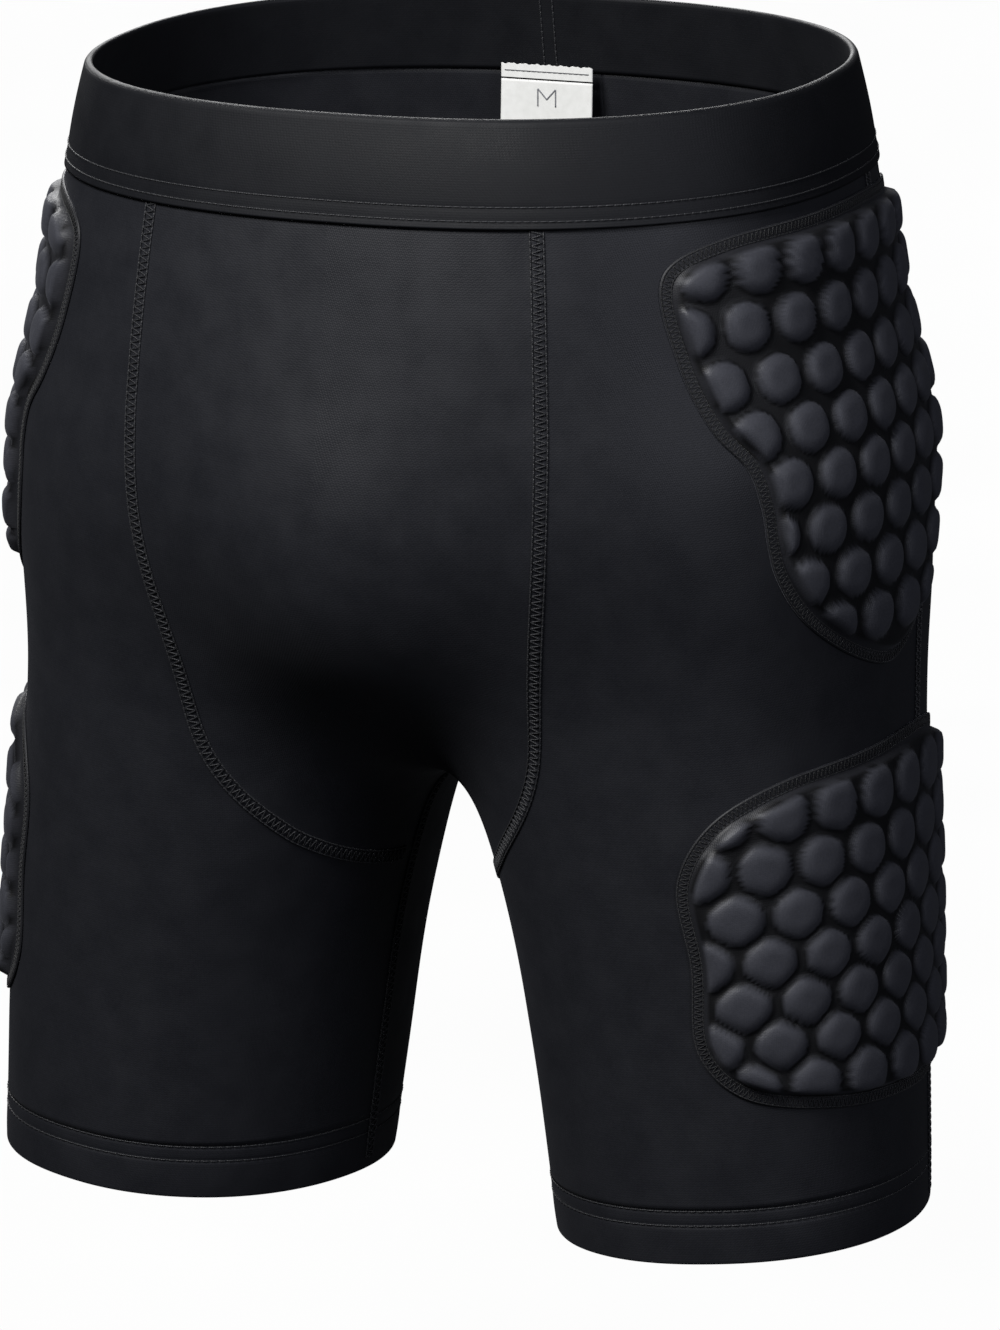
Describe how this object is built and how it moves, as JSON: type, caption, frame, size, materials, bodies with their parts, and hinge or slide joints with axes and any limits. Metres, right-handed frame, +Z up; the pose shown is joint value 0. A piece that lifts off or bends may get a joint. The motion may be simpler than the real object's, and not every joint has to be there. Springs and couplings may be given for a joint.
{
  "type": "padded impact shorts",
  "caption": "Close-fitting stretch shorts with a wide elastic waistband, flatlock seams and domed foam impact pads over the hips, thighs and tailbone.",
  "frame": {"origin": "centre of the waist opening, in the plane of the waistband's top rim", "axes": "+Z up along the wearer's body, -Y the way the wearer faces, +X to the wearer's left"},
  "size_m": [0.3716, 0.2742, 0.4358],
  "materials": {
    "jersey": "matte",
    "band_knit": "matte",
    "pad_fabric": "matte",
    "foam": "matte",
    "thread": "satin",
    "elastic_web": "matte",
    "label_satin": "satin",
    "label_thread": "satin"
  },
  "bodies": {
    "garment": {"front_panel": "jersey", "left_leg_panel": "jersey", "right_leg_panel": "jersey", "left_back_panel": "jersey", "right_back_panel": "jersey", "left_hem_band": "jersey", "right_hem_band": "jersey", "left_front_seam": "thread", "right_front_seam": "thread", "left_side_seam": "thread", "right_side_seam": "thread", "centre_back_seam": "thread", "inseam": "thread", "waistband_coverstitch": "thread", "left_hem_coverstitch": "thread", "right_hem_coverstitch": "thread", "waistband_back_seam_outside": "thread", "waistband_back_seam_inside": "thread", "waistband_cover": "band_knit", "waistband_elastic": "elastic_web", "left_hip_pad_foam": "foam", "left_hip_pad_cover": "pad_fabric", "left_hip_pad_stitching": "thread", "right_hip_pad_foam": "foam", "right_hip_pad_cover": "pad_fabric", "right_hip_pad_stitching": "thread", "left_thigh_pad_foam": "foam", "left_thigh_pad_cover": "pad_fabric", "left_thigh_pad_stitching": "thread", "right_thigh_pad_foam": "foam", "right_thigh_pad_cover": "pad_fabric", "right_thigh_pad_stitching": "thread", "tailbone_pad_foam": "foam", "tailbone_pad_cover": "pad_fabric", "tailbone_pad_stitching": "thread", "size_label_anchor": "label_satin", "size_label_stitching": "label_thread"},
    "size_label_flap": {"size_label": "label_satin"}
  },
  "joints": [
    {"name": "size_label_hinge", "type": "hinge", "parent": "garment", "child": "size_label_flap", "pos_m": [-0.02, 0.11107, -0.02567], "axis": [-1, 0, 0], "range_deg": [0, 130]}
  ]
}
